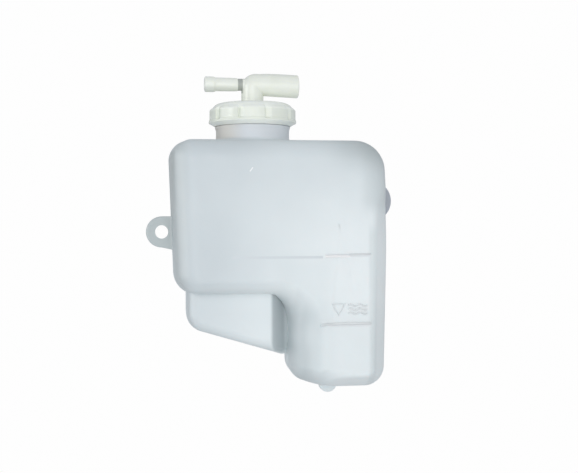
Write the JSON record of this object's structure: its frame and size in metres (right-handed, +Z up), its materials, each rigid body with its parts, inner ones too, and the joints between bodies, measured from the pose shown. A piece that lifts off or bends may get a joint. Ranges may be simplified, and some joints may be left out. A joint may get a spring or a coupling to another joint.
{
  "type": "coolant expansion tank",
  "caption": "Stepped blow moulded coolant expansion tank with a bolt ear, ribbed screw cap and a swivelling tee hose fitting with a dip tube.",
  "frame": {"origin": "centre of the bolt hole in the ear, in the bottle's parting plane", "axes": "+Z up along the neck axis, +Y through the ear from the front face to the back face, +X to the right seen from the front, towards the side tab"},
  "size_m": [0.1609, 0.0675, 0.2079],
  "materials": {
    "bottle": "natural high density polyethylene, blow moulded, semi translucent",
    "cap": "cream polypropylene, injection moulded, fine satin",
    "fitting": "cream polypropylene, injection moulded, smooth",
    "disc": "natural polypropylene",
    "seal": "black EPDM",
    "tube": "extruded polyethylene tube"
  },
  "bodies": {
    "bottle": {"tank_bottle": "bottle"},
    "lid": {"inner_disc": "disc", "cap_gasket": "seal"},
    "cap": {"screw_cap": "cap"},
    "fitting": {"hose_fitting": "fitting", "stem_o_ring": "seal", "dip_tube": "tube"}
  },
  "joints": [
    {"name": "cap_lift", "type": "slide", "parent": "bottle", "child": "lid", "axis": [0, 0, 1], "range_m": [0, 0.006]},
    {"name": "cap_turn", "type": "hinge", "parent": "lid", "child": "cap", "pos_m": [0.059, 0, 0.075], "axis": [0, 0, 1], "range_deg": [0, 540]},
    {"name": "fitting_swivel", "type": "hinge", "parent": "lid", "child": "fitting", "pos_m": [0.059, 0, 0.075], "axis": [0, 0, 1], "continuous": true}
  ],
  "couplings": [
    {"joint": "cap_lift", "follows": "cap_turn", "m_per_rad": 0.00063662}
  ]
}
